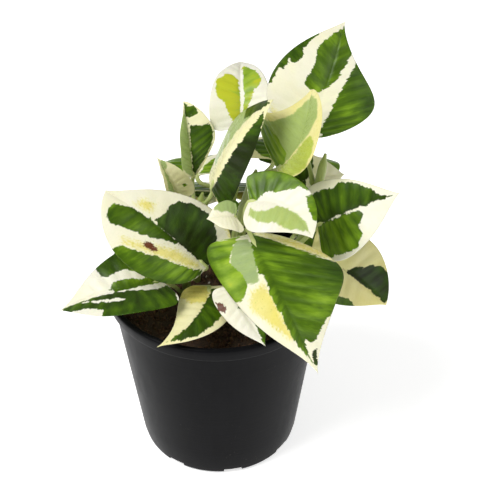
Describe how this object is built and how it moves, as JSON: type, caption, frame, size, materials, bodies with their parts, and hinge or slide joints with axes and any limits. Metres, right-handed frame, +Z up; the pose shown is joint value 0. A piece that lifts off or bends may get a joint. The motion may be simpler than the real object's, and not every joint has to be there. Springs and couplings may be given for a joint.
{
  "type": "potted pothos plant",
  "caption": "Young bushy houseplant with cream and green variegated heart-shaped leaves on short vines, growing in a plain black round nursery pot.",
  "frame": {"origin": "middle of the pot's underside, where it rests", "axes": "+Z up along the pot's axis, -Y towards the plant's front, +X to its right"},
  "size_m": [0.149, 0.1255, 0.205],
  "materials": {
    "pot_plastic": "satin black moulded plastic",
    "potting_soil": "damp peat and fine bark",
    "stem": "smooth green vine",
    "petiole": "smooth pale green leaf stalk",
    "leaf_blade": "waxy leaf, green with cream variegation"
  },
  "bodies": {
    "root": {"nursery_pot": "pot_plastic", "soil": "potting_soil", "stem_left": "stem", "stem_middle": "stem", "stem_right": "stem", "stem_front": "stem", "stem_side": "stem", "stem_back": "stem", "leaf_crown": "leaf_blade", "petiole_crown": "petiole", "leaf_top_left": "leaf_blade", "petiole_top_left": "petiole", "leaf_upper_middle": "leaf_blade", "petiole_upper_middle": "petiole", "leaf_upper_folded": "leaf_blade", "petiole_upper_folded": "petiole", "leaf_upper_left": "leaf_blade", "petiole_upper_left": "petiole", "leaf_left_curl": "leaf_blade", "petiole_left_curl": "petiole", "leaf_left_large": "leaf_blade", "petiole_left_large": "petiole", "leaf_left_over_rim": "leaf_blade", "petiole_left_over_rim": "petiole", "leaf_front_left": "leaf_blade", "petiole_front_left": "petiole", "leaf_front_small": "leaf_blade", "petiole_front_small": "petiole", "leaf_front_large": "leaf_blade", "petiole_front_large": "petiole", "leaf_middle": "leaf_blade", "petiole_middle": "petiole", "leaf_middle_left": "leaf_blade", "petiole_middle_left": "petiole", "leaf_right": "leaf_blade", "petiole_right": "petiole", "leaf_right_over_rim": "leaf_blade", "petiole_right_over_rim": "petiole", "leaf_behind_right": "leaf_blade", "petiole_behind_right": "petiole", "leaf_back_left": "leaf_blade", "petiole_back_left": "petiole", "leaf_back": "leaf_blade", "petiole_back": "petiole", "leaf_back_right": "leaf_blade", "petiole_back_right": "petiole", "leaf_right_back": "leaf_blade", "petiole_right_back": "petiole", "leaf_upper_back": "leaf_blade", "petiole_upper_back": "petiole", "leaf_upper_back_left": "leaf_blade", "petiole_upper_back_left": "petiole", "leaf_upper_back_right": "leaf_blade", "petiole_upper_back_right": "petiole", "leaf_left_back": "leaf_blade", "petiole_left_back": "petiole"}
  },
  "joints": []
}
